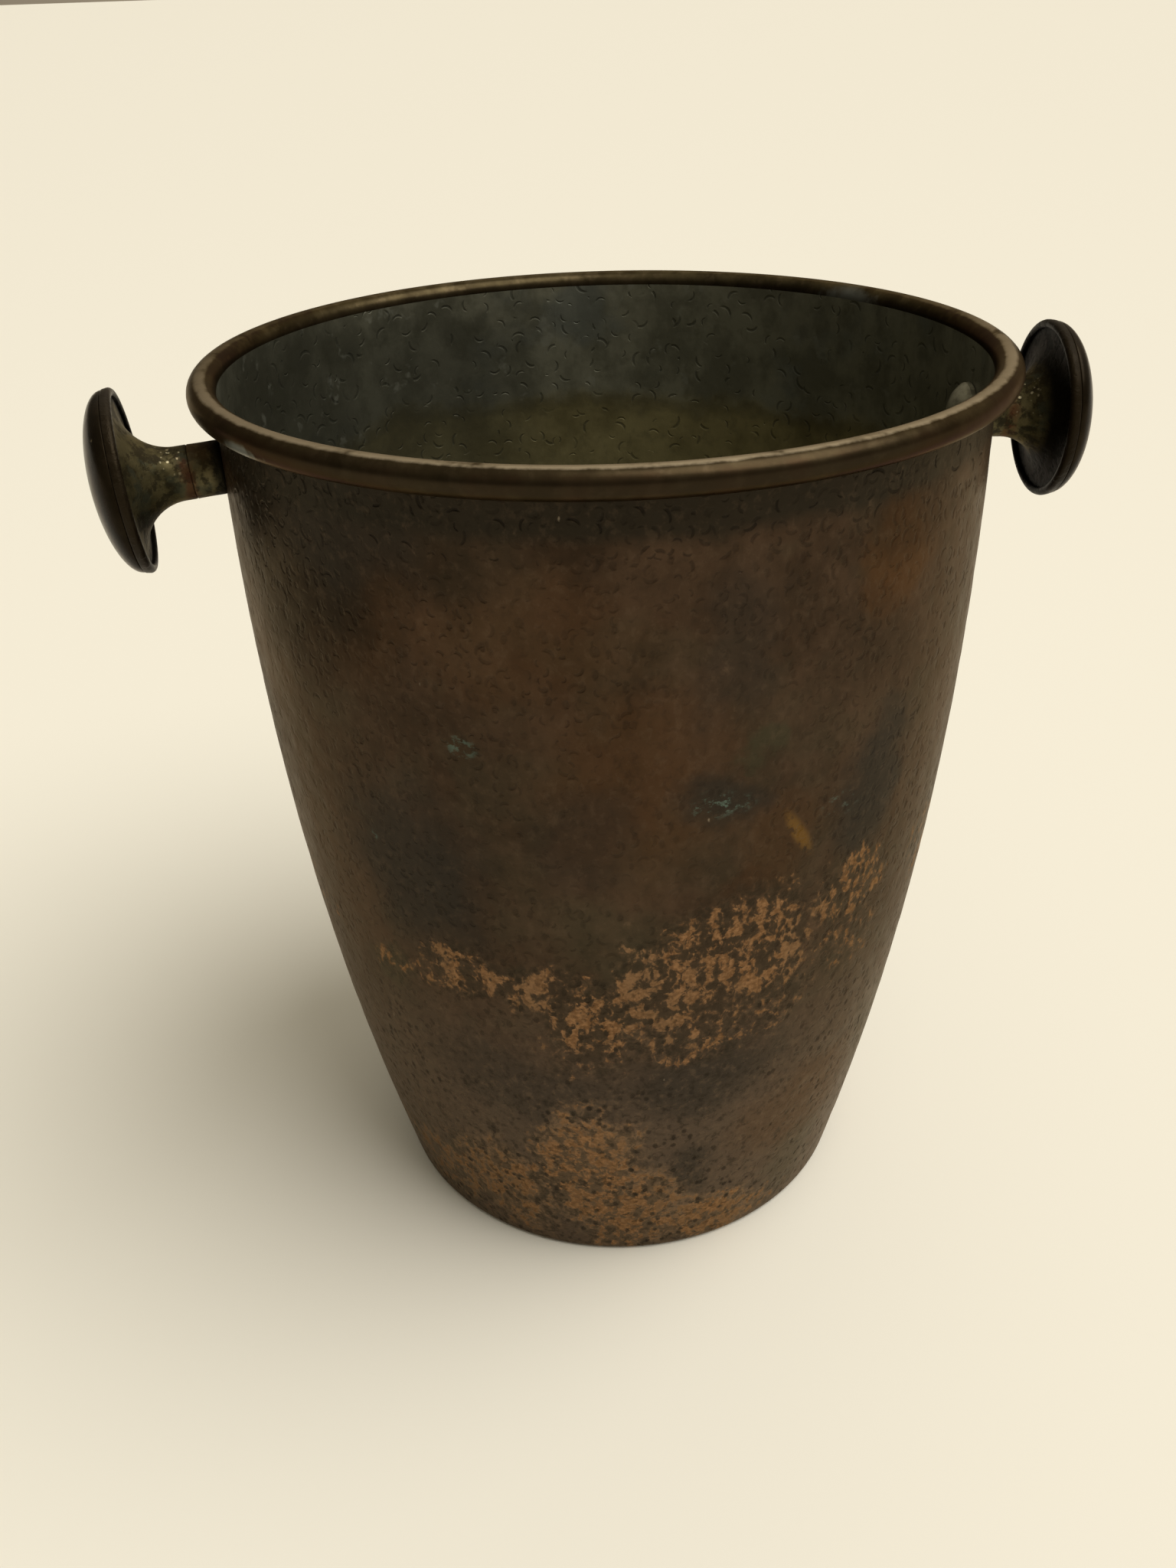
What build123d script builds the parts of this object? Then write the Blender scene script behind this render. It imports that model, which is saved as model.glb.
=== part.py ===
"""Hammered copper ice bucket with a wired rim and a mushroom knob at each side.

Frame: +Z up, origin at the centre of the foot on the resting surface, the two
knobs to the right (+X) and left (-X), both a little round towards the front
(-Y).  Millimetres.
"""

import os
from math import asin, cos, degrees, radians, sin, sqrt

from build123d import *

# ---------------------------------------------------------------- driving dimensions
# Wall: its outer face is one shallow arc from the foot to the rim.
foot_radius = 69.5              # outer face carried down to the resting surface
widest_radius = 94.6            # outer face at its widest
widest_height = 212.5
sheet = 1.0                     # thickness of the copper

# Rim: the sheet is rolled outward round a wire.
rim_height = 240.0              # centre of the wire
bead_radius = 3.4               # outside of the roll
roll_end_angle = -125.0         # where the rolled edge stops, under the bead
wire_clearance = 0.05

# Base: stands on a ring and is dished upward inside it.
foot_edge_radius = 2.6
dish_depth = 1.6
dish_radius = 55.0
dish_slope = 5.0
dish_blend = 4.0

# Knobs: each one points away from the bucket's axis.  The left one stands out a little
# further and droops.
knob_height = 222.4             # where a knob's axis meets the wall
knob_forward = 5.2              # degrees from the X axis round towards the front
right_droop = 0.0               # degrees below level
left_droop = 3.8
stem_radius = 6.4
collar_length = 7.2
collar_corner = 1.0
seam_corner = 0.2
right_lip_distance = 113.5      # bucket axis to the widest plane of the knob
left_lip_distance = 117.0
lip_radius = 21.7
lip_inner_radius = 19.8
lip_back = 1.9                  # lip stands this far back from its widest plane
lip_front = 0.6                 # and this far in front of it
lip_corner = 0.35
lip_shoulder = 0.6              # the lip's rolled back ends this far behind its widest plane
lip_taper = 0.2                 # its outer face closes in by this much towards the front
flare_back = 0.9                # floor of the dish, back from the widest plane
flare_sweep = 11.6              # radius of the flare's hollow back
cap_radius = 21.35
cap_height = 7.4
cap_sheet = 0.9

# Fixing screws: domed head inside the bucket, shank through wall and collar.
screw_radius = 2.5
screw_short = 8.0               # shank ends this far behind the knob's widest plane
tapped_clearance = 0.05
drilled_clearance = 0.2
head_radius = 7.4
head_seat = 93.2                # flat underside of the head, from the bucket axis
head_edge = 1.2                 # straight edge of the head, below its dome
head_height = 5.4
slot_width = 1.2                # the slot lies level across the dome
slot_depth = 1.2

# ---------------------------------------------------------------- derived geometry
# Circle of the wall's outer face, in the X-Z plane.
wall_spread = widest_radius - foot_radius
wall_curve = (widest_height**2 + wall_spread**2) / (2 * wall_spread)
wall_centre_x = widest_radius - wall_curve
inner_curve = wall_curve - sheet

# The roll's circle touches the wall's inner face from outside that circle.
reach = inner_curve + bead_radius
rise = rim_height - widest_height
rim_centre = wall_centre_x + sqrt(reach**2 - rise**2)
touch_angle = degrees(asin(rise / reach))
roll_start_angle = 180.0 + touch_angle
roll_sweep = roll_end_angle - roll_start_angle
roll_inner_radius = bead_radius - sheet

# The flare's hollow front shares its centre with the hollow back.
hollow_sweep = flare_sweep + flare_back + lip_front
hollow_angle = degrees(asin(flare_sweep / hollow_sweep))
collar_start = widest_radius
collar_end = collar_start + collar_length

# The screw head's dome is part of a ball; its height is given at half the head's radius.
dome_height = head_height - head_edge
dome_radius = (dome_height**2 + head_radius**2) / (2 * dome_height)
dome_fall = dome_radius - sqrt(dome_radius**2 - (head_radius / 2) ** 2)


def face_radius(curve, height):
    """Radius of a wall face at a height, from the radius of its circle."""
    return wall_centre_x + sqrt(curve**2 - (height - widest_height) ** 2)


def wall_arc(curve, low, high):
    """Arc of one wall face between two heights."""
    middle = (low + high) / 2
    return ThreePointArc(
        (face_radius(curve, low), low),
        (face_radius(curve, middle), middle),
        (face_radius(curve, high), high),
    )


def aim_knob(side, droop):
    """Plane of a knob: X along its axis, Y away from it, origin on the bucket's axis.

    The knob turns about the point where its axis meets the wall.
    """
    heading = -knob_forward if side == "right" else 180.0 + knob_forward
    level = Vector(cos(radians(heading)), sin(radians(heading)), 0)
    outward = level * cos(radians(droop)) - Vector(0, 0, sin(radians(droop)))
    crosswise = Vector(0, 0, 1).cross(level)
    wall_point = level * widest_radius + Vector(0, 0, knob_height)
    return Plane(origin=wall_point - outward * widest_radius, x_dir=outward, z_dir=crosswise)


def knob_line(plane):
    """Axis that a knob's pieces are turned about."""
    return Axis(plane.origin, plane.x_dir)


def droop_room(plane, radius):
    """How far an edge of this radius on a drooping knob must stand off the wall."""
    return radius * abs(plane.x_dir.Z)


knob_planes = {
    "right": aim_knob("right", right_droop),
    "left": aim_knob("left", left_droop),
}
lip_distances = {"right": right_lip_distance, "left": left_lip_distance}


def save(piece, name):
    """Label a finished piece and write it."""
    piece.part.label = name
    export_step(piece.part, f"parts/{name}.step")


# ---------------------------------------------------------------- bucket body
def make_shell():
    """One sheet: dished base, curved wall and rolled rim, drilled for the screws."""
    inner_touch = widest_height + inner_curve * rise / reach
    outer_touch = widest_height + wall_curve * rise / reach
    wire_axis = (rim_centre, rim_height)
    with BuildPart() as shell:
        with BuildSketch(Plane.XZ) as section:
            with BuildLine():
                outer_wall = wall_arc(wall_curve, 0, outer_touch)
                round_wire = CenterArc(wire_axis, roll_inner_radius, roll_start_angle, roll_sweep)
                round_bead = CenterArc(wire_axis, bead_radius, roll_start_angle, roll_sweep)
                Line(round_wire @ 1, round_bead @ 1)
                inner_wall = wall_arc(inner_curve, sheet, inner_touch)
                Polyline(
                    inner_wall @ 0,
                    (dish_radius + dish_slope, sheet),
                    (dish_radius, sheet + dish_depth),
                    (0, sheet + dish_depth),
                    (0, dish_depth),
                    (dish_radius, dish_depth),
                    (dish_radius + dish_slope, 0),
                    outer_wall @ 0,
                )
            make_face()
            corners = section.vertices()
            low = corners.filter_by(lambda v: v.Y < dish_depth + 2 * sheet)
            bends = low.filter_by(lambda v: 0 < v.X < dish_radius + 2 * dish_slope)
            fillet(bends, dish_blend)
            foot_corner = section.vertices().sort_by_distance(outer_wall @ 0)[0]
            fillet(foot_corner, foot_edge_radius)
            inside_corner = section.vertices().sort_by_distance(inner_wall @ 0)[0]
            fillet(inside_corner, foot_edge_radius - sheet)
        revolve(axis=Axis.Z)
        for knob_plane in knob_planes.values():
            with BuildSketch(knob_plane):
                Rectangle(3 * widest_radius, screw_radius + drilled_clearance, align=(Align.MIN, Align.MIN))
            revolve(axis=knob_line(knob_plane), mode=Mode.SUBTRACT)
    return shell


def make_rim_wire():
    """Stiffening wire inside the roll."""
    with BuildPart() as wire:
        with BuildSketch(Plane.XZ):
            with Locations((rim_centre, rim_height)):
                Circle(roll_inner_radius - wire_clearance)
        revolve(axis=Axis.Z)
    return wire


# ---------------------------------------------------------------- knob pieces
# Each is turned about the knob's axis.  In its plane, x is the distance from the
# bucket's axis along the knob and y the radius.
def make_cap(plane, axis, lip_distance):
    """Domed cap: a thin half ellipsoid seated on the lip."""
    cap_base = lip_distance + lip_front
    with BuildPart() as cap:
        with BuildSketch(plane):
            with BuildLine():
                outside = EllipticalCenterArc((cap_base, 0), cap_height, cap_radius, arc_size=90)
                inside = EllipticalCenterArc(
                    (cap_base, 0), cap_height - cap_sheet, cap_radius - cap_sheet, arc_size=90
                )
                Line(outside @ 0, inside @ 0)
                Line(outside @ 1, inside @ 1)
            make_face()
        revolve(axis=axis)
    return cap


def make_flare(plane, axis, lip_distance):
    """Flared stem: tapped neck, hollow back swept out to a lip, hollow front."""
    cap_base = lip_distance + lip_front
    sweep_centre = (cap_base - hollow_sweep, stem_radius + flare_sweep)
    bore = screw_radius + tapped_clearance
    with BuildPart() as flare:
        with BuildSketch(plane) as section:
            with BuildLine():
                back = CenterArc(sweep_centre, flare_sweep, -90, 90)
                front = CenterArc(sweep_centre, hollow_sweep, 0, -hollow_angle)
                lip = ThreePointArc(
                    (lip_distance - lip_back + lip_corner, lip_inner_radius),
                    (lip_distance - lip_back, (lip_inner_radius + lip_radius) / 2),
                    (lip_distance - lip_shoulder, lip_radius),
                )
                Polyline(back @ 1, (lip_distance - flare_back, lip_inner_radius), lip @ 0)
                Polyline(lip @ 1, (cap_base, lip_radius - lip_taper), front @ 0)
                Polyline(
                    front @ 1,
                    ((front @ 1).X, bore),
                    (collar_end, bore),
                    (collar_end, stem_radius),
                    back @ 0,
                )
            make_face()
            rim = section.vertices().filter_by(
                lambda v: v.Y > cap_radius and abs(v.X - cap_base) < lip_corner
            )
            fillet(rim, lip_corner)
        revolve(axis=axis)
    return flare


def make_collar(plane, axis, lip_distance):
    """Plain distance collar between the wall and the flared stem."""
    start = collar_start + droop_room(plane, stem_radius)
    with BuildPart() as collar:
        with BuildSketch(plane) as section:
            with BuildLine():
                Polyline(
                    (start, screw_radius + drilled_clearance),
                    (collar_end, screw_radius + drilled_clearance),
                    (collar_end, stem_radius),
                    (start, stem_radius),
                    close=True,
                )
            make_face()
            wall_corner = section.vertices().group_by(Axis.X)[0].sort_by(Axis.Y)[-1]
            fillet(wall_corner, collar_corner)
            neck_corner = section.vertices().group_by(Axis.X)[-1].sort_by(Axis.Y)[-1]
            fillet(neck_corner, seam_corner)
        revolve(axis=axis)
    return collar


def make_screw(plane, axis, lip_distance):
    """Fixing screw: slotted domed head inside, plain shank for the thread."""
    screw_reach = lip_distance - screw_short
    seat = head_seat - droop_room(plane, head_radius)
    crown = seat - head_height
    with BuildPart() as screw:
        with BuildSketch(plane):
            with BuildLine():
                dome = ThreePointArc(
                    (seat - head_edge, head_radius),
                    (crown + dome_fall, head_radius / 2),
                    (crown, 0),
                )
                Polyline(
                    dome @ 1,
                    (screw_reach, 0),
                    (screw_reach, screw_radius),
                    (seat, screw_radius),
                    (seat, head_radius),
                    dome @ 0,
                )
            make_face()
        revolve(axis=axis)
        with BuildSketch(plane):
            with Locations((crown, 0)):
                Rectangle(2 * slot_depth, slot_width)
        extrude(amount=2 * head_radius, both=True, mode=Mode.SUBTRACT)
    return screw


# ---------------------------------------------------------------- write every piece
os.makedirs("parts", exist_ok=True)

save(make_shell(), "copper_shell")
save(make_rim_wire(), "rim_wire")

knob_makers = {
    "cap": make_cap,
    "flare": make_flare,
    "collar": make_collar,
    "screw": make_screw,
}
for side, knob_plane in knob_planes.items():
    for piece_name, maker in knob_makers.items():
        piece = maker(knob_plane, knob_line(knob_plane), lip_distances[side])
        save(piece, f"{side}_{piece_name}")
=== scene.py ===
from cmath import phase
from math import asin, cos, degrees, pi, radians, sin, sqrt

import bmesh
import bpy
from mathutils import Matrix, Quaternion, Vector, noise


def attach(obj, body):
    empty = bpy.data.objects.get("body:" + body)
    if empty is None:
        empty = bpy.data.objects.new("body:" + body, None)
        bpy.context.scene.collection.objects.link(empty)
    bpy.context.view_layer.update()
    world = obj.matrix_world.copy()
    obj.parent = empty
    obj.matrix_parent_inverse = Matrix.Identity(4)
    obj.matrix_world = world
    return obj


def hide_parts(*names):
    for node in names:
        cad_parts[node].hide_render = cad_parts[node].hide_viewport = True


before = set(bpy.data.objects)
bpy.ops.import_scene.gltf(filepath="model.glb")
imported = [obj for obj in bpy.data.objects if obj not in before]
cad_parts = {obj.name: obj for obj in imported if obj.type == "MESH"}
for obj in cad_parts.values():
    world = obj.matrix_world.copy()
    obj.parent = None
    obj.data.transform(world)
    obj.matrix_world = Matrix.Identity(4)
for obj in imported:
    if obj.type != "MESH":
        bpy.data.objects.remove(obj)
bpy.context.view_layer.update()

# ---------------------------------------------------------------- sizes, in metres
MM = 0.001

# Bucket: one spun and hammered sheet.
FOOT_RADIUS = 69.5 * MM
WIDEST_RADIUS = 94.6 * MM
WIDEST_HEIGHT = 212.5 * MM
SHEET = 1.0 * MM
RIM_HEIGHT = 240.0 * MM
BEAD_RADIUS = 3.4 * MM
ROLL_END = -125.0
FOOT_EDGE = 2.6 * MM
DISH_DEPTH = 1.6 * MM
DISH_RADIUS = 55.0 * MM
DISH_SLOPE = 5.0 * MM
DISH_BLEND = 4.0 * MM

WALL_SPREAD = WIDEST_RADIUS - FOOT_RADIUS
WALL_CURVE = (WIDEST_HEIGHT**2 + WALL_SPREAD**2) / (2 * WALL_SPREAD)
WALL_CENTRE = WIDEST_RADIUS - WALL_CURVE
REACH = WALL_CURVE - SHEET + BEAD_RADIUS
RIM_CENTRE = WALL_CENTRE + sqrt(REACH**2 - (RIM_HEIGHT - WIDEST_HEIGHT) ** 2)
TOUCH = degrees(asin((RIM_HEIGHT - WIDEST_HEIGHT) / REACH))
ROLL_TURN = 180.0 + TOUCH - ROLL_END

# Knobs: turned pieces that point away from the bucket's axis, a little towards the front.
KNOB_HEIGHT = 222.4 * MM
KNOB_FORWARD = 5.2
DROOP = {"right": 0.0, "left": 3.8}
STEM_RADIUS = 6.4 * MM
COLLAR_START = WIDEST_RADIUS
COLLAR_END = COLLAR_START + 7.2 * MM
LIP_PLANE = {"right": 113.5 * MM, "left": 117.0 * MM}
LIP_RADIUS = 21.7 * MM
LIP_INNER = 19.8 * MM
FLARE_BACK = 0.9 * MM
FLARE_SWEEP = 11.6 * MM
LIP_FRONT = 0.6 * MM
CAP_RADIUS = 21.35 * MM
CAP_HEIGHT = 7.4 * MM
SCREW_RADIUS = 2.5 * MM
LIP_BACK = 1.9 * MM
LIP_STEP = 1.55 * MM
LIP_EDGE = 0.6 * MM
CAP_SHEET = 0.9 * MM

# Hammer dents in the wall's outer face, which stop short of foot and bead.
DENT_SPACING = 7.5
DENT_REACH = 0.55
DENT_DEPTH = 0.10
WAVE_SIZES = (13.0, 4.2)
WAVE_DEPTH = 0.10
DENTED_FROM = 4
DENTED_TO = 236
DENT_FADE = 8

# Camera: angles in degrees, places in metres, lens in millimetres.
CAMERA_ROUND = 8.87
CAMERA_AWAY = 0.3375
CAMERA_HEIGHT = 0.3192
CAMERA_ASIDE = 1.22
CAMERA_DOWN = 30.83
CAMERA_ROLL = -1.93
CAMERA_LENS = 30.76


# ---------------------------------------------------------------- drawing and spinning
class Outline:
    """A pen that draws a turned piece's half section in the X-Z plane."""

    def __init__(self, x, z):
        self.mesh = bmesh.new()
        self.tip = bmesh.ops.create_vert(self.mesh, co=(x, 0, z))["vert"][0]
        self.first = self.tip

    def line(self, *points):
        for x, z in points:
            self.tip = bmesh.ops.extrude_vert_indiv(self.mesh, verts=[self.tip])["verts"][0]
            self.tip.co = (x, 0, z)
        return self

    def arc(self, centre, turn, steps):
        """Swing the pen anticlockwise about a centre, by an angle in degrees."""
        swung = bmesh.ops.spin(
            self.mesh, geom=[self.tip], cent=(centre[0], 0, centre[1]), axis=(0, -1, 0),
            angle=radians(turn), steps=steps, use_merge=False, use_duplicate=False,
        )
        self.tip = [v for v in swung["geom_last"] if isinstance(v, bmesh.types.BMVert)][0]
        return self

    def close(self):
        self.mesh.edges.new((self.tip, self.first))
        return self

    def round_corners(self, near, width, steps):
        """Round the corners that lie within a small distance of the given points."""
        corners = [
            v for v in self.mesh.verts
            if any((v.co - Vector((x, 0, z))).length < 0.01 * MM for x, z in near)
        ]
        bmesh.ops.bevel(
            self.mesh, geom=corners, offset=width, offset_type="OFFSET", segments=steps,
            profile=0.5, affect="VERTICES", material=-1,
        )
        return self

    def turned(self, axis, steps):
        """Spin the section a full turn and close its seam and poles."""
        mesh = self.mesh
        bmesh.ops.spin(
            mesh, geom=mesh.verts[:] + mesh.edges[:], cent=(0, 0, 0), axis=axis,
            angle=2 * pi, steps=steps, use_merge=True, use_duplicate=False,
        )
        bmesh.ops.remove_doubles(mesh, verts=mesh.verts[:], dist=0.005 * MM)
        bmesh.ops.dissolve_degenerate(mesh, edges=mesh.edges[:], dist=0.002 * MM)
        bmesh.ops.recalc_face_normals(mesh, faces=mesh.faces[:])
        return mesh


def finish_piece(mesh, name, nodes, finishes, crease=38):
    """Turn a bmesh into a smooth-shaded piece that rides on the bucket."""
    for face in mesh.faces:
        face.smooth = True
    for edge in mesh.edges:
        if len(edge.link_faces) == 2:
            edge.smooth = edge.calc_face_angle(0) < radians(crease)
    data = bpy.data.meshes.new(name)
    mesh.to_mesh(data)
    mesh.free()
    for finish in finishes:
        data.materials.append(finish)
    piece = bpy.data.objects.new(name, data)
    bpy.context.scene.collection.objects.link(piece)
    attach(piece, "root")
    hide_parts(*nodes)
    return piece


# ---------------------------------------------------------------- wiring a finish
class Wired:
    """A socket in a finish, which Python's arithmetic can be used on."""

    def __init__(self, finish, socket):
        self.finish = finish
        self.socket = socket

    def __add__(self, other):
        return self.finish.math("ADD", self, other)

    def __radd__(self, other):
        return self.finish.math("ADD", other, self)

    def __sub__(self, other):
        return self.finish.math("SUBTRACT", self, other)

    def __rsub__(self, other):
        return self.finish.math("SUBTRACT", other, self)

    def __mul__(self, other):
        return self.finish.math("MULTIPLY", self, other)

    def __rmul__(self, other):
        return self.finish.math("MULTIPLY", other, self)

    def __truediv__(self, other):
        return self.finish.math("DIVIDE", self, other)


class Finish:
    """A procedural material of one of the bucket's metals."""

    def __init__(self, name, **fixed):
        self.material = bpy.data.materials.new(name)
        self.material.use_nodes = True
        self.tree = self.material.node_tree
        self.shader = self.tree.nodes["Principled BSDF"]
        for socket, value in fixed.items():
            self.shader.inputs[socket.replace("_", " ")].default_value = value
        body = self.add("ShaderNodeTexCoord", {}, {})
        self.place = self.scaled(body.outputs["Object"], (1000, 1000, 1000))

    def add(self, kind, settings, inputs, output=None):
        """Add a node: its settings first, then its sockets' values or links."""
        node = self.tree.nodes.new(kind)
        for name, value in settings.items():
            setattr(node, name, value)
        for name, value in inputs.items():
            socket = node.inputs[name]
            if isinstance(value, Wired):
                self.tree.links.new(value.socket, socket)
            elif isinstance(value, bpy.types.NodeSocket):
                self.tree.links.new(value, socket)
            else:
                socket.default_value = value
        return node if output is None else Wired(self, node.outputs[output])

    def math(self, operation, *terms):
        return self.add("ShaderNodeMath", {"operation": operation}, dict(enumerate(terms)), 0)

    def vector(self, operation, *terms, output=0):
        inputs = dict(enumerate(terms))
        return self.add("ShaderNodeVectorMath", {"operation": operation}, inputs, output)

    def scaled(self, vector, factors):
        return self.vector("MULTIPLY", vector, factors)

    def parts(self, vector):
        """X, Y and Z of a vector."""
        split = self.add("ShaderNodeSeparateXYZ", {}, {0: vector})
        return [Wired(self, split.outputs[i]) for i in range(3)]

    def joined(self, x, y, z):
        return self.add("ShaderNodeCombineXYZ", {}, {0: x, 1: y, 2: z}, 0)

    def step(self, value, low, high, out_low=0.0, out_high=1.0):
        """Rise smoothly from one level to another as a value goes from low to high."""
        return self.add(
            "ShaderNodeMapRange", {"interpolation_type": "SMOOTHSTEP"},
            {0: value, 1: low, 2: high, 3: out_low, 4: out_high}, 0,
        )

    def cloud(self, place, size, detail=3.0, roughness=0.55, stretch=(1, 1, 1), seed=0.0, twist=0.0):
        """Fractal noise whose largest lumps are about size millimetres."""
        shift = (seed, 1.7 * seed, 0.6 * seed)
        where = self.vector("MULTIPLY_ADD", place, tuple(1 / (size * s) for s in stretch), shift)
        return self.add(
            "ShaderNodeTexNoise", {"noise_dimensions": "3D"},
            {
                "Vector": where, "Scale": 1.0, "Detail": detail, "Roughness": roughness,
                "Distortion": twist,
            }, 0,
        )

    def blend(self, amount, under, over, kind="MIX"):
        """Lay one colour over another by an amount."""
        node = self.add(
            "ShaderNodeMix", {"data_type": "RGBA", "blend_type": kind, "clamp_factor": True}, {}
        )
        for index, value in ((0, amount), (6, under), (7, over)):
            socket = node.inputs[index]
            if isinstance(value, Wired):
                self.tree.links.new(value.socket, socket)
            else:
                socket.default_value = value if index == 0 else (*value, 1)
        return Wired(self, node.outputs[2])

    def greater(self, *values):
        """The largest of several values."""
        most = values[0]
        for value in values[1:]:
            most = self.math("MAXIMUM", most, value)
        return most

    def dents(self, where, size, seed):
        """Offset and distance from the nearest of many scattered points, and its random colour."""
        place = self.vector("MULTIPLY_ADD", where, (1 / size,) * 3, (seed, seed, seed))
        cells = self.add(
            "ShaderNodeTexVoronoi", {"voronoi_dimensions": "3D", "feature": "F1"},
            {"Vector": place, "Scale": 1.0, "Randomness": 1.0},
        )
        offset = self.vector("SUBTRACT", place, cells.outputs["Position"])
        return offset, Wired(self, cells.outputs["Distance"]), cells.outputs["Color"]

    def specks(self, where, size, seed):
        """Distance from the nearest of many scattered points, and a random number for it."""
        _, near, chance = self.dents(where, size, seed)
        return near, self.parts(chance)[1]

    def relief(self, *layers):
        """Bump the surface with heights in millimetres."""
        normal = None
        for height in layers:
            inputs = {"Strength": 1.0, "Distance": MM, "Height": height}
            if normal is not None:
                inputs["Normal"] = normal
            normal = self.add("ShaderNodeBump", {}, inputs, 0)
        self.feed("Normal", normal)

    def feed(self, socket, value):
        self.tree.links.new(value.socket, self.shader.inputs[socket])


def round_the_wall(finish):
    """Degrees round the wall from the front towards the right knob, and height in millimetres."""
    x, y, z = finish.parts(finish.place)
    angle = finish.math("ARCTAN2", x, 0 - y) * degrees(1)
    return angle, z


def round_the_knob(finish, side):
    """Millimetres out along a knob from the bucket's axis, and away from the knob's axis."""
    at_wall, turn = knob_aim(side)
    outward = tuple(turn @ Vector((1, 0, 0)))
    from_wall = finish.vector("SUBTRACT", finish.place, tuple(at_wall / MM))
    along = finish.vector("DOT_PRODUCT", from_wall, outward, output=1)
    away = finish.vector("LENGTH", finish.vector("CROSS_PRODUCT", from_wall, outward), output=1)
    return along + WIDEST_RADIUS / MM, away


def nicks(finish, size, seed, reach, width, keep):
    """Short curved hammer nicks, each turned its own way on the wall."""
    x, y, _ = finish.parts(finish.place)
    offset, _, chance = finish.dents(finish.place, size, seed)
    along = finish.vector("NORMALIZE", finish.joined(0 - y, x, 0))
    sideways = finish.vector("DOT_PRODUCT", offset, along, output=1)
    upward = finish.parts(offset)[2]
    red, green, blue = finish.parts(chance)
    swing = red * (2 * pi)
    c = finish.math("COSINE", swing)
    s = finish.math("SINE", swing)
    larger = blue * 0.9 + 0.65
    u = (sideways * c + upward * s) / larger
    v = (upward * c - sideways * s) / larger
    bowed = u - v * v * 1.6
    across = finish.math("ABSOLUTE", bowed)
    mark = finish.step(across, width, width * 0.25)
    inside = finish.step(finish.math("ABSOLUTE", v), reach, reach * 0.55)
    return mark * inside * finish.step(green, keep, keep - 0.12)


# ---------------------------------------------------------------- finishes
# Patches on the wall: degrees round it, height, half width in degrees, half height, strength.
WORN_BELT = (
    (-47, 108, 9, 8, 0.55), (-33, 114, 9, 9, 0.85), (-22, 110, 9, 11, 0.85), (-12, 104, 10, 15, 1.0),
    (-2, 112, 10, 20, 1.0), (5, 122, 10, 17, 1.0), (14, 120, 9, 20, 1.0), (3, 100, 14, 16, 0.75),
    (19, 98, 7, 12, 0.6), (31, 130, 9, 13, 0.95), (33, 112, 8, 14, 0.55), (-14, 90, 10, 8, 0.5),
    (24, 112, 6, 14, 0.4), (60, 122, 14, 16, 0.7), (84, 116, 12, 12, 0.6), (-72, 112, 12, 10, 0.5),
)
WORN_FOOT = (
    (-36, 26, 16, 24, 0.8), (-16, 40, 12, 30, 0.95), (-7, 20, 12, 24, 1.0), (10, 11, 13, 13, 1.0),
    (-55, 20, 16, 16, 0.7), (22, 9, 9, 8, 0.6), (-84, 18, 20, 14, 0.6), (70, 14, 22, 12, 0.55),
)
WORN_BACK = (
    (128, 118, 18, 14, 0.8), (152, 110, 14, 18, 0.9), (176, 122, 16, 12, 0.75), (-160, 114, 14, 15, 0.85),
    (-132, 106, 16, 12, 0.7), (-104, 112, 14, 9, 0.55), (140, 24, 24, 22, 0.85), (-170, 18, 22, 16, 0.8),
    (-128, 26, 20, 20, 0.75),
)
SOOTY = (
    (32, 159, 7, 20, 1.0), (-40, 142, 13, 24, 0.9), (6, 78, 16, 16, 0.8), (-25, 75, 20, 14, 0.55),
    (6, 38, 6, 14, 0.8), (7, 205, 6, 18, 0.45), (7, 165, 7, 7, 0.8), (-13, 158, 8, 14, 0.45),
    (-46, 225, 14, 14, 0.5), (74, 150, 12, 30, 0.7), (110, 172, 14, 22, 0.6), (-80, 160, 14, 26, 0.6),
    (160, 160, 16, 30, 0.75), (-140, 176, 14, 22, 0.6), (-150, 70, 16, 16, 0.6), (120, 70, 14, 18, 0.6),
)
WARM = (
    (33, 216, 7, 15, 0.9), (-46, 208, 13, 20, 0.5), (14, 150, 7, 14, 0.4), (-6, 172, 14, 26, 0.45),
    (-20, 205, 16, 16, 0.35), (30, 50, 16, 18, 0.5), (96, 206, 16, 18, 0.5), (-120, 200, 16, 18, 0.5),
    (170, 206, 18, 16, 0.5),
)
OLIVE = (
    (-49, 106, 5, 8, 0.9), (-10, 128, 12, 12, 0.4), (52, 60, 10, 18, 0.6), (33, 24, 8, 16, 0.6),
    (11, 178, 3, 4, 0.8), (135, 200, 10, 14, 0.6),
)
# Near-black patches high on the wall: darker patina near the top, and painted shade on the upper left.
DARK_TOP_AND_SHADE = (
    (-56, 214, 20, 28, 1.0), (-36, 222, 14, 12, 0.6), (-20, 226, 12, 8, 0.4), (34, 224, 12, 8, 0.4),
    (-90, 210, 22, 22, 0.7), (100, 222, 20, 12, 0.5), (165, 222, 24, 12, 0.5), (-150, 220, 20, 14, 0.6),
)
VERDIGRIS = (
    (6, 165, 4.2, 3.2, 1.0), (-29, 180, 2.2, 2.6, 0.9), (25, 157, 3.4, 3.0, 0.6),
    (-46, 149, 0.9, 1.4, 0.9), (141, 150, 3.4, 3.2, 0.9), (-118, 138, 3.0, 2.6, 0.8),
)
DRIP = (18, 153, 1.25, 6.5, 1.0)
# Painted shade on the lining, on its left and back left.
LINING_SHADE = ((-112, 200, 44, 70, 1.0), (-152, 205, 26, 44, 0.8))


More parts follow.
